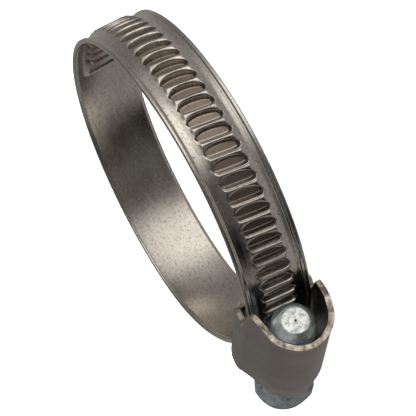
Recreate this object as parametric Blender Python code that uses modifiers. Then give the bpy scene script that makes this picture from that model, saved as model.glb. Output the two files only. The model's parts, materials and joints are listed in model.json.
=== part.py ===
"""A worm-drive hose clamp with a 9 mm embossed band, lying on its side.

The clamp's ring lies flat with its axis along +Z. The screw housing is on the -Y side. The screw
runs along X: its tip points to +X and its hexagon head to -X. The origin is at the bottom, in the
middle of the object's box. All lengths are in metres.

Places on the band are given by an angle about the ring's axis, counted from the middle of the
housing along the band, from its fixed end round to its free tail.
"""

import math

import bmesh
import bpy
from mathutils import Matrix, Vector

MM = 0.001

# Band
BAND_WIDTH = 9.0 * MM
RING_INNER_RADIUS = 22.15 * MM
BAND_THICKNESS = 0.60 * MM
EDGE_HEIGHT = 0.80 * MM          # the rolled edges stand this far above the inner surface
EDGE_TURN = 0.15 * MM            # how far the inner surface turns up at each edge
EDGE_WIDTH = 0.40 * MM
RIDGE_HEIGHT = 0.95 * MM         # tops of the embossed ridges, above the inner surface
POCKET_FLOOR = 0.15 * MM         # floors of the embossed slots, above the inner surface
THREAD_ZONE_WIDTH = 5.0 * MM
SLOT_LENGTH = 4.6 * MM
SLOT_WIDTH = 1.70 * MM
SLOT_FLOOR_SHARE = 0.75          # size of a slot's floor against its mouth
SLOT_PITCH = math.radians(5.24)
SLOT_SLANT = math.radians(6.8)
LAST_SLOT = math.radians(375.6)
SLOT_COUNT = 39

# The band is made of short rigid pieces, with a hinge between each two
SLOTS_PER_LINK = 4
LINK_ANGLE = SLOTS_PER_LINK * SLOT_PITCH
LAST_HINGE = LAST_SLOT - 3 * SLOT_PITCH
HINGE_COUNT = 17
HINGE_GAP = 0.20 * MM
FIXED_END_ANGLE = math.radians(-15.0)
TAIL_END_ANGLE = math.radians(379.0)
TAIL_CORNER = 1.2 * MM
FIXED_END_DROP = 1.95 * MM       # the fixed end passes this far inside the ring's circle
DROP_FADES_FROM = math.radians(32.0)
DROP_FADES_TO = math.radians(84.0)

# Screw
SCREW_AXIS_RADIUS = 25.5 * MM    # distance from the ring's axis to the screw's axis
THREAD_RADIUS = 2.95 * MM
THREAD_ROOT_RADIUS = 2.20 * MM
THREAD_CREST_WIDTH = 0.50 * MM
THREAD_ROOT_WIDTH = 1.10 * MM
THREAD_LEAD = 2.07 * MM
THREAD_TURNS = 6.4
SCREW_TIP_X = 7.85 * MM
TIP_CHAMFER = 0.35 * MM
TURNED_SEGMENTS = 32
THREAD_START_X = 7.0 * MM
THREAD_PHASE = 0.04 * MM         # the thread sits this far off the slots' middles at rest
NECK_RADIUS = 1.90 * MM
NECK_START_X = -6.9 * MM
HEAD_START_X = -8.7 * MM
HEAD_END_X = -14.9 * MM
HEAD_ACROSS_FLATS = 7.0 * MM
HEAD_COLLAR_RADIUS = 3.85 * MM
HEAD_COLLAR_LENGTH = 0.9 * MM
DRIVER_SLOT_WIDTH = 1.0 * MM
DRIVER_SLOT_DEPTH = 1.6 * MM

# Housing
SHEET = 0.55 * MM
HOUSING_HALF_WIDTH = 5.30 * MM
CROWN_RADIUS = 4.50 * MM
CROWN_RADIUS_AT_NECK = 4.05 * MM
CROWN_LEAN = math.radians(12.0)
WRAP_RADIUS = 19.45 * MM         # underside of the plates that fold under the band
WRAP_SEAM = 0.30 * MM
FOLD_RADIUS = 0.90 * MM
MOUTH_X = 10.2 * MM
NECK_END_X = -9.3 * MM
TAPER_START_X = -4.5 * MM
WRAP_END_X = -1.2 * MM
END_WALL_X = -7.9 * MM           # middle of the wall that holds the screw's neck
END_WALL_BOTTOM_RADIUS = 23.0 * MM
NECK_BORE_RADIUS = 2.15 * MM

# Saddle
SADDLE_OUTER_RADIUS = 21.75 * MM
SADDLE_THICKNESS = 0.60 * MM
SADDLE_WIDTH = 7.4 * MM
SADDLE_FROM = math.radians(-8.0)
SADDLE_TO = math.radians(14.0)

# Placing
HOUSING_TOP_RADIUS = SCREW_AXIS_RADIUS + CROWN_RADIUS
RING_OUTER_RADIUS = RING_INNER_RADIUS + RIDGE_HEIGHT
RING_Y = (HOUSING_TOP_RADIUS - RING_OUTER_RADIUS) / 2
MID_Z = HOUSING_HALF_WIDTH
SCREW_Y = RING_Y - SCREW_AXIS_RADIUS

STAINLESS = ("stainless_band", (0.36, 0.33, 0.30, 1.0), 0.32)
PRESSED = ("stainless_housing", (0.30, 0.285, 0.27, 1.0), 0.36)
ZINC = ("zinc_plated_steel", (0.42, 0.46, 0.48, 1.0), 0.40)


def clear_scene():
    for obj in list(bpy.data.objects):
        bpy.data.objects.remove(obj, do_unlink=True)


def new_collection(name):
    collection = bpy.data.collections.get(name) or bpy.data.collections.new(name)
    if collection.name not in bpy.context.scene.collection.children:
        bpy.context.scene.collection.children.link(collection)
    return collection


def metal(spec):
    name, colour, roughness = spec
    material = bpy.data.materials.get(name) or bpy.data.materials.new(name)
    material.use_nodes = True
    shader = material.node_tree.nodes["Principled BSDF"]
    shader.inputs["Base Color"].default_value = colour
    shader.inputs["Metallic"].default_value = 1.0
    shader.inputs["Roughness"].default_value = roughness
    return material


def add_object(name, bm, collection, spec=None, origin=(0, 0, 0)):
    """Turn a bmesh in world space into an object whose origin is at the given point."""
    bmesh.ops.translate(bm, verts=bm.verts, vec=-Vector(origin))
    bmesh.ops.recalc_face_normals(bm, faces=bm.faces)
    mesh = bpy.data.meshes.new(name)
    bm.to_mesh(mesh)
    bm.free()
    obj = bpy.data.objects.new(name, mesh)
    obj.location = origin
    collection.objects.link(obj)
    if spec:
        mesh.materials.append(metal(spec))
        mesh.shade_smooth()
        mesh.set_sharp_from_angle(angle=math.radians(35))
    return obj


def add_cutter(name, bm, cutters):
    cutter = add_object(name, bm, cutters)
    cutter.hide_render = True
    cutter.display_type = "WIRE"
    return cutter


def boolean(obj, other, operation="DIFFERENCE"):
    modifier = obj.modifiers.new(other.name, "BOOLEAN")
    modifier.operation = operation
    modifier.solver = "EXACT"
    modifier.object = other


def loft(sections):
    """A closed solid through a list of closed outlines that all have the same number of points."""
    bm = bmesh.new()
    rings = [[bm.verts.new(p) for p in section] for section in sections]
    count = len(rings[0])
    for ring, following in zip(rings, rings[1:]):
        for i in range(count):
            j = (i + 1) % count
            bm.faces.new((ring[i], ring[j], following[j], following[i]))
    bm.faces.new(rings[0][::-1])
    bm.faces.new(rings[-1])
    return bm


def on_ring(angle, radius, height=0.0):
    """A point given by its angle along the band, distance from the ring's axis and height."""
    return Vector((-radius * math.sin(angle), RING_Y - radius * math.cos(angle), MID_Z + height))


def at_screw(x, radius, height=0.0):
    """A point given by its x, its distance from the ring's axis along -Y and its height."""
    return Vector((x, RING_Y - radius, MID_Z + height))


# Band ---------------------------------------------------------------------------------------------

def drop(angle):
    """How far the band lies inside the ring's circle at this angle."""
    if angle < 0:
        flat_radius = (RING_INNER_RADIUS - FIXED_END_DROP) / math.cos(angle)
        return RING_INNER_RADIUS - flat_radius
    t = (angle - DROP_FADES_FROM) / (DROP_FADES_TO - DROP_FADES_FROM)
    t = min(max(t, 0.0), 1.0)
    return FIXED_END_DROP * (1 - t * t * (3 - 2 * t))


def inner_radius(angle):
    return RING_INNER_RADIUS - drop(angle)


def band_outline(threaded, half_width):
    """The band's cross-section as (height, distance above the inner surface)."""
    land = THREAD_ZONE_WIDTH / 2
    side = [
        (land + 0.35 * MM, BAND_THICKNESS),
        (half_width - EDGE_WIDTH - 0.2 * MM, BAND_THICKNESS),
        (half_width - EDGE_WIDTH, EDGE_HEIGHT),
        (half_width, EDGE_HEIGHT),
        (half_width, EDGE_TURN),
        (half_width - EDGE_WIDTH, 0.0),
    ]
    top = [(land, RIDGE_HEIGHT if threaded else BAND_THICKNESS)]
    upper = top + side
    return [(h, d) for h, d in upper] + [(-h, d) for h, d in reversed(upper)]


def band_section(angle, threaded, half_width=BAND_WIDTH / 2):
    radius = inner_radius(angle)
    return [on_ring(angle, radius + d, h) for h, d in band_outline(threaded, half_width)]


def tail_half_width(angle):
    """The tail's end has rounded corners."""
    left = (TAIL_END_ANGLE - angle) * RING_INNER_RADIUS
    if left >= TAIL_CORNER:
        return BAND_WIDTH / 2
    across = TAIL_CORNER - max(left, 0.0)
    return BAND_WIDTH / 2 - TAIL_CORNER + math.sqrt(max(TAIL_CORNER**2 - across**2, 0.0))


def slot_angles(start, end):
    first = LAST_SLOT - (SLOT_COUNT - 1) * SLOT_PITCH
    angles = [first + i * SLOT_PITCH for i in range(SLOT_COUNT)]
    margin = SLOT_PITCH / 2
    return [a for a in angles if start - margin < a < end + margin]


def slot_punches(angles):
    """Six-sided tapered punches, one for each embossed slot."""
    bm = bmesh.new()
    floor = RING_INNER_RADIUS + POCKET_FLOOR
    depth = 1.6 * MM
    for angle in angles:
        made = bmesh.ops.create_cone(
            bm, cap_ends=True, segments=6, depth=depth,
            radius1=SLOT_FLOOR_SHARE * SLOT_LENGTH / 2,
            radius2=punch_top_radius(depth),
        )
        squeeze = SLOT_WIDTH / (SLOT_LENGTH * math.cos(math.radians(30)))
        shape = Matrix.Diagonal((1, squeeze, 1, 1))
        outward = Vector((-math.sin(angle), -math.cos(angle), 0))
        along = Vector((-math.cos(angle), math.sin(angle), 0))
        length_axis = (Vector((0, 0, 1)) * math.cos(SLOT_SLANT) - along * math.sin(SLOT_SLANT))
        width_axis = outward.cross(length_axis)
        turn = Matrix((length_axis, width_axis, outward)).transposed().to_4x4()
        place = Matrix.Translation(on_ring(angle, floor + depth / 2))
        bmesh.ops.transform(bm, matrix=place @ turn @ shape, verts=made["verts"])
    return bm


def punch_top_radius(depth):
    """Radius of a punch at its top, so that its mouth has the right size at the ridges."""
    floor = SLOT_FLOOR_SHARE * SLOT_LENGTH / 2
    mouth = SLOT_LENGTH / 2
    return floor + (mouth - floor) * depth / (RIDGE_HEIGHT - POCKET_FLOOR)


def hinge_angle(index):
    return LAST_HINGE - (HINGE_COUNT - 1 - index) * LINK_ANGLE


def hinge_point(index):
    angle = hinge_angle(index)
    return on_ring(angle, inner_radius(angle) + BAND_THICKNESS / 2)


def make_band_piece(name, start, end, origin, parts, cutters, steps=6, tail=False):
    threaded = end > LAST_SLOT - SLOT_COUNT * SLOT_PITCH + math.radians(1)
    angles = [start + (end - start) * i / steps for i in range(steps + 1)]
    if tail:
        rounding = TAIL_CORNER / RING_INNER_RADIUS
        angles = [start + (end - rounding - start) * i / steps for i in range(steps + 1)]
        angles += [end - rounding * (1 - math.sin(math.radians(a))) for a in (30, 60, 90)]
    sections = [
        band_section(a, threaded, tail_half_width(a) if tail else BAND_WIDTH / 2) for a in angles
    ]
    piece = add_object(name, loft(sections), parts, STAINLESS, origin)
    if threaded:
        punches = add_cutter(name + "_punches", slot_punches(slot_angles(start, end)), cutters)
        boolean(piece, punches)
    return piece


def make_band(parts, cutters):
    half_gap = HINGE_GAP / 2 / RING_INNER_RADIUS
    make_band_piece(
        "band_fixed_end", FIXED_END_ANGLE, hinge_angle(0) - half_gap, (0, 0, 0), parts, cutters, 9
    )
    for i in range(HINGE_COUNT - 1):
        make_band_piece(
            f"band_link_{i + 1:02d}", hinge_angle(i) + half_gap, hinge_angle(i + 1) - half_gap,
            hinge_point(i), parts, cutters,
        )
    make_band_piece(
        "band_tail", hinge_angle(HINGE_COUNT - 1) + half_gap, TAIL_END_ANGLE,
        hinge_point(HINGE_COUNT - 1), parts, cutters, tail=True,
    )


# Screw --------------------------------------------------------------------------------------------

def turned(name, profile, parts):
    """A solid turned about the screw's axis from a profile of (x, radius) pairs, tip first."""
    bm = bmesh.new()
    verts = [bm.verts.new((x, SCREW_Y + radius, MID_Z)) for x, radius in profile]
    for vert, following in zip(verts, verts[1:]):
        bm.edges.new((vert, following))
    obj = add_object(name, bm, parts, ZINC, (0, SCREW_Y, MID_Z))
    spin = obj.modifiers.new("turn", "SCREW")
    spin.axis = "X"
    spin.steps = TURNED_SEGMENTS
    spin.render_steps = TURNED_SEGMENTS
    spin.use_merge_vertices = True
    spin.merge_threshold = 0.001 * MM
    spin.use_normal_flip = True
    return obj


def thread_coil(steps_per_turn=24):
    """The worm's thread, a right-hand coil with its crest under the middle slot at rest."""
    base = THREAD_ROOT_RADIUS - 0.15 * MM
    sections = []
    steps = int(THREAD_TURNS * steps_per_turn)
    end_turn = round((THREAD_START_X - MM) / THREAD_LEAD)
    for i in range(steps + 1):
        turn = end_turn + 0.4 - i / steps_per_turn
        angle = 2 * math.pi * turn
        x = THREAD_LEAD * turn + THREAD_PHASE
        fade = min(1.0, i / 6, (steps - i) / 6)
        crest = base + (THREAD_RADIUS - base) * (0.25 + 0.75 * fade)
        outline = [
            (x - THREAD_ROOT_WIDTH / 2, base), (x - THREAD_CREST_WIDTH / 2, crest),
            (x + THREAD_CREST_WIDTH / 2, crest), (x + THREAD_ROOT_WIDTH / 2, base),
        ]
        sections.append([
            Vector((px, SCREW_Y + r * math.cos(angle), MID_Z + r * math.sin(angle)))
            for px, r in outline
        ])
    return loft(sections)


def hexagon_head():
    bm = bmesh.new()
    radius = HEAD_ACROSS_FLATS / 2 / math.cos(math.radians(30))
    start = HEAD_START_X - HEAD_COLLAR_LENGTH + 0.1 * MM
    length = start - HEAD_END_X
    bmesh.ops.create_cone(
        bm, cap_ends=True, segments=6, radius1=radius, radius2=radius, depth=length
    )
    turn = Matrix.Rotation(math.radians(90), 4, "Y") @ Matrix.Rotation(math.radians(30), 4, "Z")
    place = Matrix.Translation((start - length / 2, SCREW_Y, MID_Z))
    bmesh.ops.transform(bm, matrix=place @ turn, verts=bm.verts)
    return bm


def box(low, high):
    bm = bmesh.new()
    bmesh.ops.create_cube(bm, size=1.0)
    low, high = Vector(low), Vector(high)
    size = high - low
    place = Matrix.Translation((low + high) / 2) @ Matrix.Diagonal((*size, 1))
    bmesh.ops.transform(bm, matrix=place, verts=bm.verts)
    return bm


def make_screw(parts, cutters):
    core = [
        (SCREW_TIP_X, 0.0),
        (SCREW_TIP_X, THREAD_ROOT_RADIUS - TIP_CHAMFER),
        (SCREW_TIP_X - TIP_CHAMFER, THREAD_ROOT_RADIUS),
        (NECK_START_X, THREAD_ROOT_RADIUS),
        (NECK_START_X - 0.2 * MM, NECK_RADIUS),
        (HEAD_START_X, NECK_RADIUS),
        (HEAD_START_X, HEAD_COLLAR_RADIUS),
        (HEAD_START_X - HEAD_COLLAR_LENGTH, HEAD_COLLAR_RADIUS),
        (HEAD_START_X - 1.6 * HEAD_COLLAR_LENGTH, HEAD_ACROSS_FLATS / 2 - 0.3 * MM),
        (HEAD_START_X - 1.6 * HEAD_COLLAR_LENGTH, 0.0),
    ]
    screw = turned("worm_screw", core, parts)
    coil = add_cutter("thread_coil", thread_coil(), cutters)
    head = add_cutter("hexagon_head", hexagon_head(), cutters)
    boolean(screw, coil, "UNION")
    boolean(screw, head, "UNION")
    half = DRIVER_SLOT_WIDTH / 2
    slot = box(
        (HEAD_END_X - MM, SCREW_Y - half, MID_Z - 6 * MM),
        (HEAD_END_X + DRIVER_SLOT_DEPTH, SCREW_Y + half, MID_Z + 6 * MM),
    )
    boolean(screw, add_cutter("driver_slot", slot, cutters))
    return screw


# Housing ------------------------------------------------------------------------------------------

def arc(centre, radius, start, end, steps):
    """Points on an arc in a (height, radius) plane, with both ends."""
    return [
        (centre[0] + radius * math.cos(a), centre[1] + radius * math.sin(a))
        for a in (start + (end - start) * i / steps for i in range(steps + 1))
    ]


def housing_path(x, inset):
    """Half of the housing's cross-section, from the seam under the band up to the crown."""
    t = min(max((TAPER_START_X - x) / (TAPER_START_X - NECK_END_X), 0.0), 1.0)
    crown = CROWN_RADIUS + (CROWN_RADIUS_AT_NECK - CROWN_RADIUS) * t - inset
    side = HOUSING_HALF_WIDTH - inset
    fold = FOLD_RADIUS - inset
    bottom = WRAP_RADIUS + inset
    under = arc((side - fold, bottom + fold), fold, math.radians(-90), 0, 3)
    over = arc((0, SCREW_AXIS_RADIUS), crown, CROWN_LEAN, math.radians(90), 8)
    shoulder = (side, 22.6 * MM)
    return [(WRAP_SEAM / 2, bottom)] + under + [shoulder] + over


def housing_section(x):
    outer = housing_path(x, 0.0)
    inner = housing_path(x, SHEET)
    ring = [(-h, r) for h, r in outer] + [(h, r) for h, r in reversed(outer[:-1])]
    ring += [(h, r) for h, r in inner] + [(-h, r) for h, r in reversed(inner[:-1])]
    return [at_screw(x, r, h) for h, r in ring]


def side_prism(outline):
    """A prism right across the housing from an outline of (x, radius) points in millimetres."""
    bm = bmesh.new()
    reach = HOUSING_HALF_WIDTH + 2 * MM
    face = bm.faces.new([bm.verts.new(at_screw(x * MM, r * MM, -reach)) for x, r in outline])
    made = bmesh.ops.extrude_face_region(bm, geom=[face])
    moved = [item for item in made["geom"] if isinstance(item, bmesh.types.BMVert)]
    bmesh.ops.translate(bm, verts=moved, vec=(0, 0, 2 * reach))
    return bm


def mouth_cut():
    """Opens the mouth under the hood and leaves the notch between hood and fold."""
    outline = [
        (4.9, 21.8), (5.4, 22.15), (6.4, 22.1), (8.4, 22.8), (9.4, 23.3), (10.0, 24.0),
        (10.25, 24.8), (11.5, 24.8), (11.5, 18.0), (5.9, 18.0), (6.2, 19.6), (6.3, 20.5),
        (6.0, 21.2), (5.4, 21.6),
    ]
    return side_prism(outline)


def heel_cut():
    """Rounds the lower corner of the side walls at the head's end."""
    outline = [
        (-6.4, 19.3), (-7.0, 19.8), (-7.9, 20.5), (-8.8, 21.0), (-9.4, 21.7), (-10.5, 21.9),
        (-10.5, 18.0), (-6.0, 18.0),
    ]
    return side_prism(outline)


def neck_cut():
    """Trims the hood back around the screw's neck."""
    outline = [
        (-9.6, 21.9), (-8.8, 23.0), (-8.5, 24.3), (-8.45, 31.5), (-11.0, 31.5), (-11.0, 21.9),
    ]
    return side_prism(outline)


def end_wall():
    """The wall across the hood that carries the screw's neck."""
    t = SHEET / 2
    path = [(h, r) for h, r in housing_path(END_WALL_X, t) if r > 23.5 * MM]
    h_low = HOUSING_HALF_WIDTH - t - 0.2 * MM
    half = [(h_low, END_WALL_BOTTOM_RADIUS)] + path
    ring = half + [(-h, r) for h, r in reversed(half[:-1])]
    return loft([
        [at_screw(END_WALL_X - t, r, h) for h, r in ring],
        [at_screw(END_WALL_X + t, r, h) for h, r in ring],
    ])


def neck_bore():
    bm = bmesh.new()
    bmesh.ops.create_cone(
        bm, cap_ends=True, segments=TURNED_SEGMENTS,
        radius1=NECK_BORE_RADIUS, radius2=NECK_BORE_RADIUS, depth=4 * SHEET,
    )
    place = Matrix.Translation((END_WALL_X, SCREW_Y, MID_Z))
    turn = Matrix.Rotation(math.radians(90), 4, "Y")
    bmesh.ops.transform(bm, matrix=place @ turn, verts=bm.verts)
    return bm


def make_housing(parts, cutters):
    stations = [MOUTH_X, TAPER_START_X, -7.0 * MM, NECK_END_X]
    housing = add_object("housing", loft([housing_section(x) for x in stations]), parts, PRESSED)
    boolean(housing, add_cutter("mouth_cut", mouth_cut(), cutters))
    boolean(housing, add_cutter("heel_cut", heel_cut(), cutters))
    boolean(housing, add_cutter("neck_cut", neck_cut(), cutters))
    reach = HOUSING_HALF_WIDTH - SHEET + 0.03 * MM
    wrap_cut = box(
        (-12 * MM, RING_Y - WRAP_RADIUS - 1.0 * MM, MID_Z - reach),
        (WRAP_END_X, RING_Y - WRAP_RADIUS + 1.0 * MM, MID_Z + reach),
    )
    boolean(housing, add_cutter("wrap_cut", wrap_cut, cutters))
    boolean(housing, add_cutter("end_wall", end_wall(), cutters), "UNION")
    boolean(housing, add_cutter("neck_bore", neck_bore(), cutters))
    return housing


def make_saddle(parts):
    """A curved plate that carries the tail over the fixed end, under the worm."""
    half = SADDLE_WIDTH / 2
    steps = 6
    inner = SADDLE_OUTER_RADIUS - SADDLE_THICKNESS
    sections = []
    for i in range(steps + 1):
        a = SADDLE_FROM + (SADDLE_TO - SADDLE_FROM) * i / steps
        corners = ((inner, -half), (SADDLE_OUTER_RADIUS, -half), (SADDLE_OUTER_RADIUS, half), (inner, half))
        sections.append([on_ring(a, r, h) for r, h in corners])
    return add_object("saddle", loft(sections), parts, PRESSED)


def main():
    clear_scene()
    parts = new_collection("hose_clamp")
    cutters = new_collection("cutters")
    make_housing(parts, cutters)
    make_saddle(parts)
    make_screw(parts, cutters)
    make_band(parts, cutters)


main()
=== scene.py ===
"""The looks of a worm-drive hose clamp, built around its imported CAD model.

The band, housing, saddle and screw are fine meshes of their own. The band is one strip without
gaps, cut in the middle of each rigid link, and each length of it bends over the hinge inside it.
Angles on the band are counted about the ring's axis from the middle of the housing, from the
band's fixed end round to its tail. Lengths are in metres unless a name or comment says otherwise.
"""

import json
import math

import bmesh
import bpy
import numpy as np
from mathutils import Matrix, Vector


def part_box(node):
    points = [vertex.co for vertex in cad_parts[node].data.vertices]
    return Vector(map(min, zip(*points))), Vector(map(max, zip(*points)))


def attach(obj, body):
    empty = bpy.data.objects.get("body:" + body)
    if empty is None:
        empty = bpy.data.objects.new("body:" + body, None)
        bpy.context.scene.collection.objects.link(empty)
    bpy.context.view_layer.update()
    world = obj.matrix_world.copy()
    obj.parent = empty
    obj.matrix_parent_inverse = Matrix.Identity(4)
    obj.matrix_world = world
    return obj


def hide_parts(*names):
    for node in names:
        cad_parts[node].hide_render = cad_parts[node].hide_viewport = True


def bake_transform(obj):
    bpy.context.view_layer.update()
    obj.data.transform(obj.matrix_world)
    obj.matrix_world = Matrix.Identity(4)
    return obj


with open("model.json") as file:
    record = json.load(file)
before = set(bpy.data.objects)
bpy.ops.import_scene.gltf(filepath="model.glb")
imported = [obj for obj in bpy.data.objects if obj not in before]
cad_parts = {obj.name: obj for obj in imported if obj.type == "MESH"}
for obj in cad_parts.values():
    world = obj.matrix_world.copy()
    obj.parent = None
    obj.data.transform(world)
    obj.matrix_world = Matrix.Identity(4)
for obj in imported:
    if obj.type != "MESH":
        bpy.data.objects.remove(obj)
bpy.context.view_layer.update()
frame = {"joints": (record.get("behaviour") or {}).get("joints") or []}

MM = 0.001
JOINTS = {joint["name"]: joint for joint in frame["joints"]}

# Places that come from the frame
SCREW_AT = Vector(JOINTS["screw_turn"]["pos_m"])
SADDLE_LOW, SADDLE_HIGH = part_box("saddle")
SCREW_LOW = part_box("worm_screw")[0]
SCREW_AXIS_RADIUS = 25.5 * MM
RING_Y = SCREW_AT.y + SCREW_AXIS_RADIUS
MID_Z = SCREW_AT.z

# Band, in millimetres and degrees
BAND_HALF_WIDTH = 4.5
INNER_RADIUS = 22.15
STRIP = 0.60                 # thickness of the plain strip
BEAD = 0.20                  # how far the rolled edges stand above it
BEAD_RISE = (3.80, 4.10)     # where they rise, from the band's middle
BEAD_LINE = (3.69, 0.05)     # the fine line rolled beside them: its place, and both width and depth
EDGE_ROUNDING = 0.16
EDGE_TURN_UP = (0.15, 0.14)  # how far the inner face turns up under the bead and at the edge
RIDGE = 0.35                 # how far the embossed ridges stand above the plain strip
RIDGE_FADE = (1.9, 3.3)      # where they sink into the plain strip, from the band's middle
RIDGE_CROWN = 0.13           # how far they round up between two slots
UNDER_RIDGE = 0.44           # how far the inner face follows the ridges
POCKET = 0.45                # depth of the slots below the plain strip's outer face
POCKET_UNDER = 0.12          # how far a slot's floor shows on the inner face
SLOT_PITCH = 5.24            # degrees, as the slots' places are
SLOT_COUNT = 39
LAST_SLOT = 375.6            # the middle of the slot nearest the tail
SLOT_SLANT = math.radians(6.8)
SLOT_HALF_LENGTH = 2.45
SLOT_END = 0.45              # length over which a slot runs out at each end
SLOT_TIP = 0.06              # half width that is left at its ends
# Each side of a slot: half width in the middle, two powers for its outline, and its wall's run
SLOT_SIDES = {-1: (0.86, 2.4, 0.75, 0.20), 1: (0.74, 8, 0.7, 0.36)}
CREASE = (0.07, 0.22, 0.10)  # the crease past a slot's far wall: depth, place and width, also of the painted shade in it
PLAIN_STEP = 1.1             # degrees between rows where the strip is plain
LEAN_FADE = 8.0              # degrees before the first slot over which the rows come to lean
RIDGE_START = 0.8            # degrees over which the embossing starts
MID_RADIUS = 22.75
FIXED_END = -15.0            # degrees
TAIL_END = 379.0             # degrees
TAIL_CORNER = 1.2
FIXED_END_DROP = 1.95        # how much nearer the ring's axis the fixed end lies
DROP_FADE = (32.0, 84.0)     # degrees over which the band comes back to the inner radius
INNER_FACE_SHIFT = 20.0      # so that the inner face has stains of its own

# Housing, in millimetres
SHEET = 0.55
HALF_WIDTH = 5.3
CROWN = 4.5                  # radius of the hood over the screw
CROWN_AT_NECK = 4.05
CROWN_LEAN = math.radians(12)  # where the hood's arc starts, above the level of the screw's axis
WRAP_RADIUS = 19.45          # from the ring's axis to the plates folded under the band
HIP = 22.45                  # where the walls start to lean in over the screw
SHOULDER = 0.3               # length of the bend there
NECK_TAPER = (-4.5, 4.8)     # where the crown starts to narrow towards the head, and how far on
FOLD = 0.90                  # radius of the folds
SEAM = 0.30                  # gap between the two folded plates
CUT_ROUNDING = 0.08
FLARE = 0.11                 # how much the sheet thickens on each face at the mouth's cut edge
FLARE_LENGTH = (0.75, 0.05)  # from where to where, counted from the edge
END_WALL = (-8.17, -7.63)    # its two faces along x
END_WALL_FOOT = 23.2         # how near the ring's axis it comes
NECK_BORE = 2.15
RIM = 0.04                   # how near the sheet's end a point counts as its cut edge

# Saddle, in millimetres
SADDLE_RADIUS = 21.75
SADDLE_THICKNESS = 0.60
SADDLE_ROUNDING = 0.12
SADDLE_END_ROUNDING = 0.1

# Screw, in millimetres from the screw's joint along +X
THREAD_RADIUS = 2.95
ROOT_RADIUS = 2.20
THREAD_LEAD = 2.07
THREAD_PHASE = 0.04
THREAD_FLANK = (0.22, 0.58)  # where the crest starts and ends to fall, counted from its middle
THREAD_END = (-6.9, -5.9)    # where the thread runs out towards the head
TIP = 7.85
TIP_DOME = 0.05              # how far the end face falls away at its edge
TIP_RADIUS = 1.70
TIP_SLOPE = 1.15             # of the chamfer between the end face and the thread
TIP_DIMPLE = (0.02, 0.22, 0.13)  # inner radius, outer radius and depth of the centre mark
BRIGHT_TIP = 6.9             # the bright end starts here: partly worn plating, partly a painted highlight
RING_STEP = 0.07
NECK_RADIUS = 1.90
HEAD_START = -8.7
HEAD_END = -14.9
HEAD_FLATS = 7.5             # across flats
HEAD_CORNER = 4.2            # radius that the corners are turned down to
HEAD_END_RADIUS = 3.6
HEAD_CHAMFER = 0.30          # slope of the chamfer that runs along the head
COLLAR_RADIUS = 3.95
COLLAR_LENGTH = 0.9
DRIVER_SLOT = (1.6, 1.0)     # depth and width


def smooth(low, high, value):
    """Rises smoothly from 0 at low to 1 at high."""
    t = np.clip((np.asarray(value, float) - low) / (high - low), 0.0, 1.0)
    return t * t * (3 - 2 * t)


def lerp(a, b, t):
    return a + (b - a) * t


# Meshes -------------------------------------------------------------------------------------------

def tube_normals(points):
    """Normals of a grid whose columns run round a closed section."""
    along = np.gradient(points, axis=0)
    across = np.roll(points, -1, axis=1) - np.roll(points, 1, axis=1)
    normals = np.cross(across, along)
    return normals / np.maximum(np.linalg.norm(normals, axis=2, keepdims=True), 1e-12)


def add_mesh(name, points, faces, notes, normals=None):
    """An object from points in metres. The notes are a vector for each point, for its material."""
    mesh = bpy.data.meshes.new(name)
    mesh.from_pydata(points.tolist(), [], faces)
    mesh.attributes.new("strip", "FLOAT_VECTOR", "POINT").data.foreach_set("vector", notes.ravel())
    bm = bmesh.new()
    bm.from_mesh(mesh)
    if bm.calc_volume(signed=True) < 0:
        bmesh.ops.reverse_faces(bm, faces=bm.faces)
        bm.to_mesh(mesh)
        normals = None if normals is None else -normals
    bm.free()
    mesh.shade_smooth()
    if normals is not None:
        mesh.normals_split_custom_set_from_vertices(normals.tolist())
    obj = bpy.data.objects.new(name, mesh)
    bpy.context.scene.collection.objects.link(obj)
    return obj


def add_tube(name, points, notes, normals, caps):
    """A closed tube from a grid. Its caps are "strip" for a flat section or "fan" for a round one."""
    rows, count = points.shape[:2]
    faces = []
    for j in range(rows - 1):
        for i in range(count):
            k = (i + 1) % count
            faces.append((j * count + i, j * count + k, (j + 1) * count + k, (j + 1) * count + i))
    last = (rows - 1) * count
    if caps == "strip":
        for i in range(count // 2 - 1):
            a, b, c, d = i, i + 1, count - 2 - i, count - 1 - i
            faces.append((d, c, b, a))
            faces.append((last + a, last + b, last + c, last + d))
    else:
        faces.append(tuple(range(count - 1, -1, -1)))
        faces.append(tuple(range(last, last + count)))
    return add_mesh(
        name, points.reshape(-1, 3) * MM, faces, notes.reshape(-1, 3), normals.reshape(-1, 3)
    )


def on_ring(angle, radius, height):
    """Points in millimetres from angles in degrees, radii and heights above the ring's middle."""
    a = np.radians(angle)
    return np.stack([
        -radius * np.sin(a), RING_Y / MM - radius * np.cos(a), MID_Z / MM + height
    ], axis=-1)


# Band ---------------------------------------------------------------------------------------------

def band_inner_radius(angle):
    flat = (INNER_RADIUS - FIXED_END_DROP) / np.cos(np.radians(angle))
    dropped = INNER_RADIUS - FIXED_END_DROP * (1 - smooth(*DROP_FADE, angle))
    return np.where(angle < 0, flat, dropped)


def band_columns():
    """Heights across half of the band, closer together where its section changes."""
    thread = np.concatenate([np.arange(0, 1.5, 0.25), np.arange(1.5, 2.9, 0.1)])
    side = [2.95, 3.1, 3.35, 3.55, 3.63, 3.69, 3.75, 3.81, 3.88, 3.98, 4.08, 4.2, 4.3]
    edge = [4.38, 4.43, 4.465, 4.488, 4.5]
    half = np.concatenate([thread, side, edge])
    return np.concatenate([-half[:0:-1], half])


def ridge_lift(z):
    """The embossed zone's rise over the plain strip beside it, from 1 in the middle to 0."""
    return 1 - smooth(*RIDGE_FADE, np.abs(z))


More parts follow.
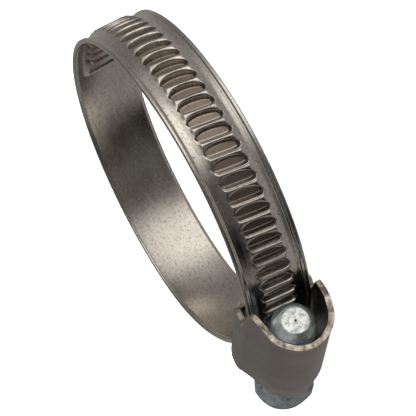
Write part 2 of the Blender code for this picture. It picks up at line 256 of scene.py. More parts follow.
def cell_rows():
    """Rows over one slot and half of the ridge on each side.

    Each row is (side, zone, share): on the ridge the share goes from the slot's edge to the ridge's
    middle, on the wall from the edge down to the floor, on the floor from the wall to the middle.
    """
    before = [("ridge", s) for s in (0.75, 0.5, 0.3, 0.14, 0.0)]
    before += [("wall", s) for s in (0.12, 0.35, 0.65, 0.88, 1.0)] + [("floor", 0.45)]
    after = [(zone, s) for zone, s in reversed(before)] + [("ridge", 1.0)]
    return [(-1, z, s) for z, s in before] + [(1, "floor", 1.0)] + [(1, z, s) for z, s in after]


def cell_shape(side, zone, share, z):
    """Offset along the band, outer height, inner height and darkness of one row of a slot's cell; the
    darkness is painted shade, and partly grime on the floor.
    """
    half_pitch = math.radians(SLOT_PITCH) * MID_RADIUS / 2
    share_of_length = np.clip(np.abs(z) / SLOT_HALF_LENGTH, 0, 1)
    middle, fullness, bluntness, longest_run = SLOT_SIDES[side]
    mouth = np.maximum(middle * (1 - share_of_length**fullness) ** bluntness, SLOT_TIP)
    run = np.minimum(longest_run, 0.7 * mouth)
    lift = ridge_lift(z)
    sunk = 1 - smooth(SLOT_HALF_LENGTH - SLOT_END, SLOT_HALF_LENGTH, np.abs(z))
    ridge = STRIP + RIDGE * lift
    floor = lerp(ridge, STRIP - POCKET, sunk)
    under_ridge = UNDER_RIDGE * lift
    under_floor = lerp(under_ridge, -POCKET_UNDER, sunk)
    if zone == "ridge":
        crown = (0.03 + RIDGE_CROWN * sunk) * (1 - (1 - share) ** 2) * lift
        depth, place, width = CREASE
        creased = sunk * (side > 0)
        crease = depth * creased * math.exp(-((share - place) / width) ** 2)
        # Painted shade along the crease
        dark = 0.9 * creased * math.exp(-((share - place) / (1.2 * width)) ** 2)
        return side * lerp(mouth, half_pitch, share), ridge + crown - crease, under_ridge, dark
    if zone == "wall":
        t = share * share * (3 - 2 * share)
        # Painted shade on the slot's walls, much heavier on the wall before the slot's middle, under
        # the ridge
        dark = (0.55 if side < 0 else 0.10) * share * sunk
        height, under = lerp(ridge, floor, t), lerp(under_ridge, under_floor, t)
        return side * (mouth - run * share), height, under, dark
    # On the floor the darkness is painted shade in the recess, and partly grime
    return side * (mouth - run) * (1 - share), floor, under_floor, sunk


def band_rows(breaks):
    """Every row of the band as (angles, outer heights, inner heights, darkness of painted shade and
    grime), across its width.
    """
    z = band_columns()
    first_edge = LAST_SLOT - (SLOT_COUNT - 0.5) * SLOT_PITCH
    last_edge = LAST_SLOT + 0.5 * SLOT_PITCH
    lean = -np.degrees(np.tan(SLOT_SLANT) * z / MID_RADIUS)
    plain, none = np.full_like(z, STRIP), np.zeros_like(z)
    rows, marks = [], {}
    stops = [FIXED_END] + [b for b in breaks if b < first_edge] + [first_edge]
    for a, b in zip(stops, stops[1:]):
        steps = max(2, int(round((b - a) / PLAIN_STEP)))
        marks[a] = len(rows)
        for angle in np.linspace(a, b, steps, endpoint=False):
            leaning = lean * smooth(first_edge - LEAN_FADE, first_edge, angle)
            lift = ridge_lift(z) * smooth(first_edge - RIDGE_START, first_edge, angle)
            rows.append((angle + leaning, plain + RIDGE * lift, UNDER_RIDGE * lift, none))
    for index in range(SLOT_COUNT):
        centre = LAST_SLOT - (SLOT_COUNT - 1 - index) * SLOT_PITCH
        if index == 0:
            lift = ridge_lift(z)
            rows.append((first_edge + lean, plain + RIDGE * lift, UNDER_RIDGE * lift, none))
        for side, zone, share in cell_rows():
            if (side, zone, share) == (1, "floor", 1.0):
                marks[round(centre, 3)] = len(rows)
            offset, outer, inner, dark = cell_shape(side, zone, share, z)
            angle = centre + np.degrees(offset / MID_RADIUS) + lean
            rows.append((angle, outer, inner, dark + none))
    for share in (0.25, 0.5, 0.75, 0.9, 1.0):
        lift = ridge_lift(z) * (1 - share)
        angle = lerp(last_edge, TAIL_END, share) + lean * (1 - share)
        rows.append((angle, plain + RIDGE * lift, UNDER_RIDGE * lift, none))
    return z, rows, marks


def band_grid(breaks):
    z, rows, marks = band_rows(breaks)
    size = np.abs(z)
    line, line_width = BEAD_LINE
    bead = BEAD * smooth(*BEAD_RISE, size) - line_width * np.exp(-((size - line) / line_width) ** 2)
    rounding = EDGE_ROUNDING * smooth(4.36, BAND_HALF_WIDTH, size) ** 1.5
    turn_up = EDGE_TURN_UP[0] * smooth(4.05, 4.32, size)
    turn_up += EDGE_TURN_UP[1] * smooth(4.40, BAND_HALF_WIDTH, size) ** 1.5
    points, notes = [], []
    for angle, outer, inner, dark in rows:
        left = (TAIL_END - float(angle.mean())) * math.radians(1) * INNER_RADIUS
        across = TAIL_CORNER - min(max(left, 0.0), TAIL_CORNER)
        half = BAND_HALF_WIDTH - TAIL_CORNER + math.sqrt(TAIL_CORNER**2 - across**2)
        height = z * half / BAND_HALF_WIDTH
        base = band_inner_radius(angle)
        top = on_ring(angle, base + outer + bead - rounding, height)
        under = on_ring(angle, base + inner + turn_up, height)
        points.append(np.concatenate([top, under[::-1]]))
        along = np.radians(angle) * MID_RADIUS
        # The outer face's third note is the slots' darkness: painted shade, partly grime
        upper = np.stack([along, z, dark], axis=-1)
        lower = np.stack([along, z + INNER_FACE_SHIFT, np.zeros_like(z)], axis=-1)
        notes.append(np.concatenate([upper, lower[::-1]]))
    points, notes = np.array(points), np.array(notes)
    return points, notes, tube_normals(points), marks


def hinge_angles():
    """The angle of each of the band's hinges, from the frame's joints, in order."""
    found = []
    for name in sorted(n for n in JOINTS if n.startswith("band_bend_")):
        x, y, _ = JOINTS[name]["pos_m"]
        found.append(math.degrees(math.atan2(-x, RING_Y - y)) % 360)
    return found


def make_band(material):
    hinges = hinge_angles()
    half_link = (hinges[1] - hinges[0]) / 2
    first_cut = hinges[0] - half_link - 2.0
    cuts = [round(first_cut, 3)] + [round(h + half_link, 3) for h in hinges]
    points, notes, normals, marks = band_grid(cuts)
    last = max(i for a, i in marks.items() if a <= cuts[-1] + 0.01)
    rows = [min(marks.items(), key=lambda m: abs(m[0] - c))[1] for c in cuts[:-1]] + [last]
    links = [f"link_{i:02d}" for i in range(1, len(hinges))]
    bodies = ["housing_assembly"] + links + ["tail"]
    nodes = ["band_fixed_end"] + ["band_" + link for link in links] + ["band_tail"]
    edges = [0] + rows + [len(points) - 1]
    final = len(edges) - 2
    for k, (low, high) in enumerate(zip(edges, edges[1:])):
        part = slice(low, high + 1)
        name = {0: "band_start", final: "band_tip"}.get(k, f"band_bend_{k:02d}")
        piece = add_tube(name, points[part], notes[part], normals[part], "strip")
        piece.data.materials.append(material)
        if k == 0:
            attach(piece, bodies[0])
        elif k == final:
            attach(piece, bodies[-1])
        else:
            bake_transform(piece)
        if k < len(nodes):
            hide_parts(nodes[k])


# Housing ------------------------------------------------------------------------------------------

def arc(centre, radius, start, end, steps):
    angles = np.linspace(math.radians(start), math.radians(end), steps)
    return [(centre[0] + radius * math.cos(a), centre[1] + radius * math.sin(a)) for a in angles]


def half_path(x, inset):
    """Half of the housing's section at x, from the seam under the band up to the crown."""
    start, length = NECK_TAPER
    t = min(max((start - x) / length, 0.0), 1.0)
    t = t * t * (3 - 2 * t)
    crown = lerp(CROWN, CROWN_AT_NECK, t) - inset
    side, fold, bottom = HALF_WIDTH - inset, FOLD - inset, WRAP_RADIUS + inset
    under = [(lerp(SEAM / 2, side - fold, s), bottom) for s in np.linspace(0, 1, 9)[:-1]]
    under += arc((side - fold, bottom + fold), fold, -90, 0, 8)
    over = arc((0, SCREW_AXIS_RADIUS / MM), crown, math.degrees(CROWN_LEAN), 90, 26)
    wall = [(side, lerp(bottom + fold, HIP, s)) for s in np.linspace(0, 1, 16)[1:]]
    shoulder = HIP + SHOULDER
    climb = []
    for s in np.linspace(0, 1, 16)[1:-1]:
        last = (lerp(side, over[0][0], s), lerp(shoulder, over[0][1], s))
        climb.append((lerp(side, last[0], s), lerp(lerp(HIP, shoulder, s), last[1], s)))
    return under + wall + climb + over


# How far the housing reaches towards +X, as (distance from the ring's axis, reach), first for the
# folded plates and the notch over the band, then for the hood, whose two walls differ
MOUTH_FOLD = [(19.4, 5.60), (20.0, 5.95), (20.9, 5.95), (21.4, 5.55), (21.8, 4.80), (22.1, 5.6)]
MOUTH_TOP_WALL = [
    (22.25, 7.1), (22.45, 8.7), (22.75, 9.75), (23.1, 10.2), (23.8, 10.3), (25.0, 9.95),
    (26.6, 9.3), (27.9, 9.4), (28.9, 9.5), (29.5, 9.26), (30.0, 9.15),
]
MOUTH_LOW_WALL = [
    (22.25, 7.1), (22.5, 8.4), (23.1, 8.8), (24.2, 9.6), (25.5, 10.2), (26.8, 9.85),
    (27.7, 9.8), (28.6, 9.5), (29.4, 9.2), (30.0, 9.15),
]


def mouth_end(radius, side):
    """How far the housing reaches towards +X, on its upper (side 1) or lower (side -1) wall."""
    places = np.array(MOUTH_FOLD + (MOUTH_TOP_WALL if side > 0 else MOUTH_LOW_WALL))
    return float(np.interp(radius, places[:, 0], places[:, 1]))


# The same towards -X: the folded plates stop short, and the walls and the crown go on to the neck
FOLD_RADIUS, FOLD_REACH = 20.3, -1.2
NECK = np.array([
    (20.3, -6.3), (20.6, -8.0), (21.0, -8.8), (21.7, -9.3), (22.2, -9.3), (23.0, -8.8), (24.3, -8.5),
])


def neck_end(radius):
    """How far the housing reaches towards -X."""
    if radius < FOLD_RADIUS:
        return FOLD_REACH
    return float(np.interp(radius, NECK[:, 0], NECK[:, 1]))


def section_at(low, high, count):
    """The closed outline of a sheet from x = low to high, as (x, depth below the outer face)."""
    r = CUT_ROUNDING
    turn = np.radians([90, 60, 30, 0])
    outer = [(low + r - r * math.sin(a), r - r * math.cos(a)) for a in turn]
    outer += [(x, 0.0) for x in np.linspace(low + r, high - r, count)[1:-1]]
    outer += [(high - r + r * math.sin(a), r - r * math.cos(a)) for a in turn[::-1]]
    flare = [FLARE * float(smooth(*FLARE_LENGTH, high - x)) for x, _ in outer]
    top = [(x, d - f) for (x, d), f in zip(outer, flare)]
    under = [(x, SHEET - d + f) for (x, d), f in zip(outer, flare)]
    return top + under[::-1]


def make_housing(material):
    reference = half_path(0.0, 0.0)
    total = len(reference)
    lengths = np.cumsum([0.0] + [math.dist(a, b) for a, b in zip(reference, reference[1:])])
    points, notes = [], []
    paths = {}
    for i, sign in [(i, -1) for i in range(total)] + [(i, 1) for i in range(total - 2, -1, -1)]:
        radius = reference[i][1]
        low, high = neck_end(radius), mouth_end(radius, sign)
        ring, note = [], []
        for x, depth in section_at(low, high, 40):
            key = (round(x, 5), round(depth, 5))
            if key not in paths:
                paths[key] = half_path(x, depth)
            h, r = paths[key][i]
            ring.append((x, RING_Y / MM - r, MID_Z / MM + sign * h))
            # Third note: 1 on the cut edge, where pale painted highlights go, and 2 on the inner face,
            # which is painted in shade
            face = 1.0 if min(high - x, x - low) < RIM else 2.0 if depth > SHEET / 2 else 0.0
            note.append((x, sign * (lengths[-1] - lengths[i]), face))
        points.append(ring)
        notes.append(note)
    points, notes = np.array(points), np.array(notes)
    shell = add_tube("housing_shell", points, notes, tube_normals(points), "strip")
    shell.data.materials.append(material)
    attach(shell, "housing_assembly")
    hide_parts("housing")
    make_end_wall(material)


def make_end_wall(material):
    """The wall across the housing that the screw's neck passes through."""
    axis = SCREW_AXIS_RADIUS / MM
    near, far = END_WALL
    rim = [(h, r) for h, r in half_path((near + far) / 2, SHEET * 0.75) if r > END_WALL_FOOT]
    rim = [(-h, r) for h, r in rim] + [(h, r) for h, r in reversed(rim[:-1])]
    foot = [(lerp(rim[-1][0], rim[0][0], s), rim[0][1]) for s in np.linspace(0, 1, 16)[1:-1]]
    rim = np.array(rim + foot)
    angles = np.arctan2(rim[:, 1] - axis, rim[:, 0])
    hole = np.stack([NECK_BORE * np.cos(angles), axis + NECK_BORE * np.sin(angles)], axis=-1)
    face = [(0.0, 0.0), (0.0, 0.35), (0.0, 0.97), (0.05, 1.0)]
    section = [(near + dx, share) for dx, share in face]
    section += [(far - dx, share) for dx, share in reversed(face)]
    rows = []
    for x, share in section:
        flat = lerp(rim, hole, share)
        rows.append(np.stack([
            np.full(len(flat), x), RING_Y / MM - flat[:, 1], MID_Z / MM + flat[:, 0]
        ], axis=-1))
    wall = add_ring("housing_end_wall", np.swapaxes(np.array(rows), 0, 1))
    wall.data.materials.append(material)
    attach(wall, "housing_assembly")


def add_ring(name, grid):
    """A closed ring: a grid whose rows go round and whose columns are a closed section."""
    rows, count = grid.shape[:2]
    faces = [
        (j * count + i, j * count + (i + 1) % count,
         (j + 1) % rows * count + (i + 1) % count, (j + 1) % rows * count + i)
        for j in range(rows) for i in range(count)
    ]
    flat = grid.reshape(-1, 3)
    obj = add_mesh(name, flat * MM, faces, flat.copy())
    obj.data.set_sharp_from_angle(angle=math.radians(40))
    return obj


def make_saddle(material):
    half = (SADDLE_HIGH.z - SADDLE_LOW.z) / MM / 2
    low = math.degrees(math.atan2(-SADDLE_HIGH.x / MM, SADDLE_RADIUS))
    high = math.degrees(math.atan2(-SADDLE_LOW.x / MM, SADDLE_RADIUS))
    r = SADDLE_ROUNDING
    turn = np.radians([90, 60, 30, 0])
    top = [(-half + r - r * math.sin(a), r - r * math.cos(a)) for a in turn]
    top += [(z, 0.0) for z in np.linspace(-half + r, half - r, 20)[1:-1]]
    top += [(half - r + r * math.sin(a), r - r * math.cos(a)) for a in turn[::-1]]
    section = np.array(top + [(z, SADDLE_THICKNESS - d) for z, d in reversed(top)])
    ease = math.degrees(SADDLE_END_ROUNDING / SADDLE_RADIUS)
    angles = [low, low + ease * 0.3, low + ease]
    angles += list(np.linspace(low + ease, high - ease, 24)[1:-1])
    angles += [high - ease, high - ease * 0.3, high]
    points = []
    for angle in angles:
        end = min(min(angle - low, high - angle) / ease, 1.0)
        pinch = SADDLE_END_ROUNDING * (1 - math.sqrt(1 - (1 - end) ** 2))
        depth = lerp(section[:, 1], SADDLE_THICKNESS / 2, pinch / (SADDLE_THICKNESS / 2))
        points.append(on_ring(np.full(len(section), angle), SADDLE_RADIUS - depth, section[:, 0]))
    points = np.array(points)
    saddle = add_tube("saddle_plate", points, points.copy(), tube_normals(points), "strip")
    saddle.data.materials.append(material)
    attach(saddle, "housing_assembly")
    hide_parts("saddle")


# Screw --------------------------------------------------------------------------------------------

def thread_radius(x, turn):
    """Radius of the threaded part at x, for a direction given as a share of a turn."""
    place = (x - THREAD_PHASE) / THREAD_LEAD - turn
    off = np.abs(place - np.round(place)) * THREAD_LEAD
    crest = 1 - smooth(*THREAD_FLANK, off)
    return lerp(ROOT_RADIUS, THREAD_RADIUS, crest * smooth(*THREAD_END, x))


def tip_radius(x):
    """The chamfer on the screw's tip: a wide cone up to the end face."""
    return TIP_RADIUS + np.maximum(TIP - x, 0.0) * TIP_SLOPE


def head_radius(x, turn):
    """The hexagon with its corners turned down by a long chamfer."""
    sector = (turn * 6 + 0.5) % 1.0 - 0.5
    flat = HEAD_FLATS / 2 / np.cos(sector * math.pi / 3)
    cone = HEAD_END_RADIUS + (x - HEAD_END) * HEAD_CHAMFER
    return np.minimum(np.minimum(flat, HEAD_CORNER), cone)


def screw_profile(turn):
    """Rings from the tip's middle to the head's: places along x, radii and marks for the material."""
    rings = []
    start, end, depth = TIP_DIMPLE
    for radius in (0.02, 0.10, 0.17, 0.22, 0.30, 0.7, 1.1, 1.5, 1.64, 1.68):
        dimple = depth * (1 - float(smooth(start, end, radius)))
        dome = TIP_DOME * float(smooth(1.1, 1.68, radius))
        rings.append((TIP - dimple - dome, radius, 1.0))
    for x in np.arange(TIP - RING_STEP, THREAD_END[0], -RING_STEP):
        radius = np.minimum(thread_radius(x, turn), tip_radius(x))
        rings.append((x, radius, 0.5 if x > BRIGHT_TIP else 0.0))
    collar_end = HEAD_START - COLLAR_LENGTH
    neck = [(-6.92, ROOT_RADIUS), (-7.1, NECK_RADIUS), (HEAD_START + 0.04, NECK_RADIUS)]
    collar = [
        (HEAD_START, NECK_RADIUS + 0.05), (HEAD_START, COLLAR_RADIUS - 0.17),
        (HEAD_START - 0.05, COLLAR_RADIUS - 0.05), (HEAD_START - 0.14, COLLAR_RADIUS),
        (collar_end + 0.2, COLLAR_RADIUS), (collar_end + 0.08, COLLAR_RADIUS - 0.04),
        (collar_end, COLLAR_RADIUS - 0.16),
    ]
    rings += [(x, radius, 0.0) for x, radius in neck + collar]
    for x in np.linspace(collar_end - 0.12, HEAD_END + 0.05, 40):
        share = smooth(0.12, 0.5, collar_end - x)
        rings.append((x, lerp(COLLAR_RADIUS - 0.2, head_radius(x, turn), share), 0.0))
    rings += [(HEAD_END, radius, 0.0) for radius in (3.50, 3.30, 2.6, 1.8, 1.0, 0.3, 0.02)]
    return rings


def make_screw(material):
    count = 144
    turn = np.arange(count) / count
    angle = turn * 2 * math.pi
    points, notes = [], []
    for x, radius, mask in screw_profile(turn):
        x, radius, mask = (np.broadcast_to(value, count) for value in (x, radius, mask))
        y = SCREW_AT.y / MM + radius * np.cos(angle)
        z = SCREW_AT.z / MM + radius * np.sin(angle)
        points.append(np.stack([x, y, z], axis=-1))
        notes.append(np.stack([x, radius, mask], axis=-1))
    points, notes = np.array(points), np.array(notes)
    screw = add_tube("screw_with_head", points, notes, tube_normals(points), "fan")
    screw.data.materials.append(material)
    cut_driver_slot(screw)
    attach(screw, "screw")
    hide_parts("worm_screw")


def cut_driver_slot(screw):
    """Cuts the slot across the head's end face with a box that is longer than the head is wide."""
    depth, width = DRIVER_SLOT
    bm = bmesh.new()
    bmesh.ops.create_cube(bm, size=1.0)
    size = Matrix.Diagonal((2 * depth * MM, width * MM, 12 * MM, 1))
    place = Matrix.Translation((SCREW_LOW.x, SCREW_AT.y, SCREW_AT.z))
    bmesh.ops.transform(bm, matrix=place @ size, verts=bm.verts)
    mesh = bpy.data.meshes.new("driver_slot_cutter")
    bm.to_mesh(mesh)
    bm.free()
    cutter = bpy.data.objects.new("driver_slot_cutter", mesh)
    bpy.context.scene.collection.objects.link(cutter)
    cut = screw.modifiers.new("driver_slot", "BOOLEAN")
    cut.operation = "DIFFERENCE"
    cut.object = cutter
    evaluated = screw.evaluated_get(bpy.context.evaluated_depsgraph_get())
    result = bpy.data.meshes.new_from_object(evaluated)
    screw.modifiers.clear()
    screw.data = result
    result.shade_smooth()
    result.set_sharp_from_angle(angle=math.radians(38))
    bpy.data.objects.remove(cutter)


# Materials ----------------------------------------------------------------------------------------

STEEL_DULL = (0.62, 0.585, 0.54)
STEEL_CLEAN = (0.76, 0.715, 0.66)
STEEL_SCRATCH = (0.36, 0.33, 0.30)
STEEL_STAIN = (0.40, 0.35, 0.30)
STEEL_PIT = (0.10, 0.085, 0.07)
# The slots' dark colour: painted shade in their recesses, creases and under the ridges, partly grime
# too
SLOT_GRIME_AND_SHADE = (0.195, 0.145, 0.105)
GRIME_AND_SHADE_FROM = (80.0, 87.0)    # millimetres along the band, where the slots' painted shade and grime grow stronger
SHEET_DARK = (0.33, 0.300, 0.280)
SHEET_PALE = (0.43, 0.395, 0.37)
SHEET_TINT = (0.30, 0.215, 0.19)
# Painted shade on the housing's inner face
SHEET_INSIDE_SHADE = (0.20, 0.18, 0.16)
# The cut edge: its own dull sheared tone, with pale spots that are painted highlights
CUT_DARK = (0.15, 0.120, 0.095)
CUT_PALE = (0.66, 0.57, 0.47)
ZINC_DARK = (0.07, 0.085, 0.095)
ZINC_PALE = (0.28, 0.315, 0.33)
ZINC_BLOTCH = (0.05, 0.07, 0.08)
# The chamfer's pale blotches: partly worn plating, partly painted highlights
ZINC_CHAMFER = (0.60, 0.66, 0.64)
ZINC_FACE = (0.97, 0.98, 0.96)
ZINC_FACE_DULL = (0.42, 0.46, 0.45)
CENTRE_MARK = (0.02, 0.03, 0.05)
FINE_BUMP = 0.02 * MM


class Nodes:
    """Short calls for building a material's node tree."""

    def __init__(self, name):
        self.material = bpy.data.materials.new(name)
        self.material.use_nodes = True
        self.tree = self.material.node_tree
        self.shader = self.tree.nodes["Principled BSDF"]
        self.shader.inputs["Metallic"].default_value = 1.0

    def add(self, kind, **settings):
        node = self.tree.nodes.new(kind)
        for key, value in settings.items():
            setattr(node, key, value)
        return node

    def link(self, source, target):
        self.tree.links.new(source, target)

    def noise(self, vector, scale, detail=4.0, roughness=0.6):
        node = self.add("ShaderNodeTexNoise")
        node.inputs["Scale"].default_value = scale
        node.inputs["Detail"].default_value = detail
        node.inputs["Roughness"].default_value = roughness
        self.link(vector, node.inputs["Vector"])
        return node.outputs["Fac"]

    def scaled(self, vector, scale):
        node = self.add("ShaderNodeMapping")
        node.inputs["Scale"].default_value = scale
        self.link(vector, node.inputs["Vector"])
        return node.outputs["Vector"]

    def ramp(self, value, low, high, start=0.0, end=1.0):
        """Maps low..high to start..end and clamps."""
        node = self.add("ShaderNodeMapRange")
        for key, number in (("From Min", low), ("From Max", high), ("To Min", start), ("To Max", end)):
            node.inputs[key].default_value = number
        self.link(value, node.inputs["Value"])
        return node.outputs["Result"]

    def math(self, operation, a, b):
        node = self.add("ShaderNodeMath", operation=operation)
        for socket, value in zip(node.inputs, (a, b)):
            if isinstance(value, (int, float)):
                socket.default_value = value
            else:
                self.link(value, socket)
        return node.outputs[0]

    def mix(self, factor, a, b):
        """Mixes two colours, each a socket or a tuple."""
        node = self.add("ShaderNodeMix", data_type="RGBA")
        self.link(factor, node.inputs[0])
        for socket, value in ((node.inputs[6], a), (node.inputs[7], b)):
            if isinstance(value, tuple):
                socket.default_value = (*value, 1.0)
            else:
                self.link(value, socket)
        return node.outputs[2]

    def strip(self):
        """The mesh's own vector: (along, across, mask)."""
        node = self.add("ShaderNodeAttribute", attribute_name="strip")
        split = self.add("ShaderNodeSeparateXYZ")
        self.link(node.outputs["Vector"], split.inputs[0])
        return node.outputs["Vector"], split.outputs

    def bump(self, height, distance):
        node = self.add("ShaderNodeBump")
        node.inputs["Distance"].default_value = distance
        node.inputs["Strength"].default_value = 1.0
        self.link(height, node.inputs["Height"])
        self.link(node.outputs["Normal"], self.shader.inputs["Normal"])

    def finish(self, colour, roughness):
        self.link(colour, self.shader.inputs["Base Color"])
        self.link(roughness, self.shader.inputs["Roughness"])
        return self.material


def stainless_band():
    """Brushed lengthwise, with cloudy stains and pits, and grime and painted shade in the slots."""
    n = Nodes("stainless_band_worn")
    vector, (along, _, mask) = n.strip()
    brushed = n.noise(n.scaled(vector, (0.35, 14.0, 0.0)), 1.0, 5.0)
    cloudy = n.noise(n.scaled(vector, (0.22, 0.35, 0.0)), 1.0, 3.0)
    spots = n.noise(n.scaled(vector, (1.3, 1.6, 0.0)), 1.6, 2.0)
    pits = n.noise(n.scaled(vector, (1.3, 1.9, 0.0)), 1.7, 2.0)
    speck = n.ramp(pits, 0.66, 0.71)
    stain = n.ramp(spots, 0.50, 0.70, 0.0, 0.65)
    steel = n.mix(n.ramp(cloudy, 0.35, 0.65), STEEL_DULL, STEEL_CLEAN)
    steel = n.mix(n.ramp(brushed, 0.30, 0.70, 0.0, 0.22), steel, STEEL_SCRATCH)
    steel = n.mix(stain, steel, STEEL_STAIN)
    steel = n.mix(n.math("MULTIPLY", speck, 0.7), steel, STEEL_PIT)
    # Painted shade in the slots, partly grime, stronger further along the band
    grime_and_shade = n.math("MULTIPLY", mask, n.ramp(along, *GRIME_AND_SHADE_FROM, 0.12, 0.86))
    steel = n.mix(grime_and_shade, steel, SLOT_GRIME_AND_SHADE)
    worn = n.ramp(cloudy, 0.3, 0.7, 0.0, 0.08)
    rough = n.math("ADD", n.ramp(brushed, 0.3, 0.7, 0.12, 0.20), worn)
    rough = n.math("ADD", rough, n.math("MULTIPLY", mask, 0.15))
    height = n.math("SUBTRACT", n.math("MULTIPLY", brushed, 0.35), n.math("MULTIPLY", speck, 0.8))
    n.bump(height, FINE_BUMP)
    return n.finish(steel, rough)


def stainless_housing():
    """Smooth pressed sheet, painted darker inside as shade, with a rough pale cut edge spotted with
    painted highlights. Its mask is 1 on that edge.
    """
    n = Nodes("stainless_housing_satin")
    vector, (_, _, mask) = n.strip()
    grain = n.noise(n.scaled(vector, (2.0, 2.0, 0.0)), 9.0, 3.0)
    cloudy = n.noise(n.scaled(vector, (0.3, 0.12, 0.0)), 1.0, 3.0)
    drawn = n.noise(n.scaled(vector, (6.0, 0.4, 0.0)), 1.0, 4.0)
    coordinates = n.add("ShaderNodeTexCoord").outputs["Object"]
    # Spots on the cut edge: its own tone, and pale ones that are painted highlights
    cut_tone_and_glints = n.noise(n.scaled(coordinates, (1100, 1100, 1100)), 1.0, 4.0)
    steel = n.mix(n.ramp(cloudy, 0.3, 0.7), SHEET_DARK, SHEET_PALE)
    steel = n.mix(n.ramp(drawn, 0.6, 0.8, 0.0, 0.35), steel, SHEET_TINT)
    # Painted shade on the sheet's inner face
    steel = n.mix(n.ramp(mask, 1.4, 2.0), steel, SHEET_INSIDE_SHADE)
    cut = n.math("PINGPONG", mask, 1.0)
    steel = n.mix(cut, steel, n.mix(n.ramp(cut_tone_and_glints, 0.40, 0.66), CUT_DARK, CUT_PALE))
    rough = n.math("ADD", n.ramp(grain, 0.3, 0.7, 0.30, 0.40), n.math("MULTIPLY", cut, 0.12))
    n.link(n.ramp(cut, 0.0, 1.0, 1.0, 0.60), n.shader.inputs["Metallic"])
    height = n.math("ADD", n.math("MULTIPLY", grain, 0.25), n.math("MULTIPLY", drawn, 0.3))
    n.bump(height, FINE_BUMP)
    return n.finish(steel, rough)


def zinc_plated():
    """Mottled blue-grey plating. Its mask is 1 on the worn end face and a half on the chamfer, whose
    pale blotches are partly wear and partly painted highlights.
    """
    n = Nodes("zinc_plated_mottled")
    n.shader.inputs["Metallic"].default_value = 0.72
    coordinates = n.add("ShaderNodeTexCoord").outputs["Object"]
    _, (_, radius, mask) = n.strip()
    mottle = n.noise(n.scaled(coordinates, (1400, 1400, 1400)), 1.0, 5.0, 0.7)
    blotch = n.noise(n.scaled(coordinates, (420, 420, 420)), 1.0, 4.0)
    zinc = n.mix(n.ramp(mottle, 0.3, 0.7), ZINC_DARK, ZINC_PALE)
    zinc = n.mix(n.ramp(blotch, 0.50, 0.68, 0.0, 0.7), zinc, ZINC_BLOTCH)
    face = n.ramp(mask, 0.6, 1.0)
    # Pale blotches on the chamfer: partly worn plating, partly painted highlights
    ring = n.math("MULTIPLY", n.ramp(mask, 0.3, 0.5), n.ramp(blotch, 0.45, 0.60, 0.90, 0.18))
    zinc = n.mix(ring, zinc, ZINC_CHAMFER)
    white = n.mix(n.ramp(mottle, 0.38, 0.56), ZINC_FACE_DULL, ZINC_FACE)
    zinc = n.mix(face, zinc, white)
    centre = n.math("MULTIPLY", face, n.ramp(radius, 0.12, 0.20, 1.0, 0.0))
    zinc = n.mix(centre, zinc, CENTRE_MARK)
    rough = n.math("ADD", n.ramp(mottle, 0.3, 0.7, 0.28, 0.42), n.math("MULTIPLY", face, 0.2))
    n.bump(n.math("ADD", mottle, n.math("MULTIPLY", blotch, 0.6)), 2 * FINE_BUMP)
    return n.finish(zinc, rough)


# Studio -------------------------------------------------------------------------------------------

WORLD_STRENGTH = 2.5         # a colour ramp stops at 1, and the key panel is brighter than that

# Soft panels round the object, as (direction in degrees from +X towards +Y, brightness)
PANELS = [
    (-180, 0.27), (-150, 0.24), (-120, 0.28), (-99, 0.30), (-90, 0.06), (-82, 0.0), (-72, 0.0),
    (-60, 0.04), (-48, 0.15), (-32, 0.04), (-18, 0.22), (-8, 1.15), (5, 1.45), (22, 1.50),
    (34, 0.62), (52, 0.44), (70, 0.21), (95, 0.19), (125, 0.36), (150, 0.27), (180, 0.27),
]
# What they fade into above and below, as (height where it starts, where it is complete, brightness)
ABOVE_AND_BELOW = [(0.25, 0.80, 0.13), (-0.20, -0.75, 0.33)]

# The camera, from the perspective fit to the ring's two rims. Its place is from the ring's middle.
LENS = 179.6
CAMERA_AT = Vector((0.243575, -0.096266, 0.065384))
CAMERA_RIGHT = Vector((0.03993, -0.50960, -0.85948))
CAMERA_FORWARD = Vector((-0.90683, 0.34275, -0.24530))


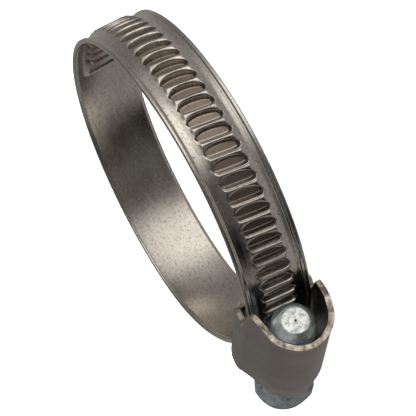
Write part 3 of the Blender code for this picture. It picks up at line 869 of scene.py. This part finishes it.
def make_world():
    world = bpy.data.worlds.new("soft_studio")
    bpy.context.scene.world = world
    world.use_nodes = True
    tree = world.node_tree
    background = tree.nodes["Background"]
    background.inputs["Strength"].default_value = WORLD_STRENGTH
    direction = tree.nodes.new("ShaderNodeTexCoord").outputs["Generated"]
    around = tree.nodes.new("ShaderNodeTexGradient")
    around.gradient_type = "RADIAL"
    tree.links.new(direction, around.inputs["Vector"])
    ramp = tree.nodes.new("ShaderNodeValToRGB")
    ramp.color_ramp.interpolation = "B_SPLINE"
    stops = ramp.color_ramp.elements
    for index, (azimuth, value) in enumerate(PANELS):
        place = (azimuth + 180) / 360
        stop = stops[index] if index < 2 else stops.new(place)
        stop.position = place
        value = value / WORLD_STRENGTH
        stop.color = (value, value * 0.965, value * 0.92, 1.0)
    tree.links.new(around.outputs["Fac"], ramp.inputs["Fac"])
    split = tree.nodes.new("ShaderNodeSeparateXYZ")
    tree.links.new(direction, split.inputs[0])
    colour = ramp.outputs["Color"]
    for low, high, value in ABOVE_AND_BELOW:
        share = tree.nodes.new("ShaderNodeMapRange")
        share.inputs["From Min"].default_value = low
        share.inputs["From Max"].default_value = high
        tree.links.new(split.outputs["Z"], share.inputs["Value"])
        mix = tree.nodes.new("ShaderNodeMix")
        mix.data_type = "RGBA"
        tree.links.new(share.outputs["Result"], mix.inputs[0])
        tree.links.new(colour, mix.inputs[6])
        value = value / WORLD_STRENGTH
        mix.inputs[7].default_value = (value, value * 0.97, value * 0.93, 1.0)
        colour = mix.outputs[2]
    tree.links.new(colour, background.inputs["Color"])


def make_floor():
    bm = bmesh.new()
    bmesh.ops.create_circle(bm, cap_ends=True, segments=96, radius=6.0)
    mesh = bpy.data.meshes.new("floor")
    bm.to_mesh(mesh)
    bm.free()
    floor = bpy.data.objects.new("floor", mesh)
    bpy.context.scene.collection.objects.link(floor)
    material = bpy.data.materials.new("pale_floor")
    material.use_nodes = True
    shader = material.node_tree.nodes["Principled BSDF"]
    shader.inputs["Base Color"].default_value = (0.92, 0.92, 0.92, 1.0)
    shader.inputs["Roughness"].default_value = 0.9
    mesh.materials.append(material)
    floor.visible_glossy = False


def make_lights():
    """One wide panel overhead lights the floor evenly. The metal mirrors only the soft studio."""
    lamp = bpy.data.lights.new("overhead_panel", "AREA")
    lamp.shape = "DISK"
    lamp.size = 5.0
    lamp.energy = 170.0
    lamp.use_shadow = False
    panel = bpy.data.objects.new("overhead_panel", lamp)
    panel.location = (0.0, 0.0, 1.6)
    panel.visible_glossy = False
    bpy.context.scene.collection.objects.link(panel)


def make_camera():
    """Looks along the screw's side of the ring from a hand's reach away, through a long lens."""
    camera = bpy.data.cameras.new("camera")
    camera.sensor_width = 36.0
    camera.lens = LENS
    camera.clip_start = 0.01
    obj = bpy.data.objects.new("camera", camera)
    right = CAMERA_RIGHT.normalized()
    forward = CAMERA_FORWARD.normalized()
    up = right.cross(forward)
    turn = Matrix((right, up, -forward)).transposed().to_4x4()
    obj.matrix_world = Matrix.Translation(Vector((0.0, RING_Y, MID_Z)) + CAMERA_AT) @ turn
    bpy.context.scene.collection.objects.link(obj)
    bpy.context.scene.camera = obj


def main():
    make_camera()
    make_world()
    make_lights()
    make_floor()
    band, housing, zinc = stainless_band(), stainless_housing(), zinc_plated()
    make_band(band)
    make_housing(housing)
    make_saddle(housing)
    make_screw(zinc)
    bpy.context.scene.view_settings.view_transform = "Standard"


main()

bpy.context.view_layer.update()
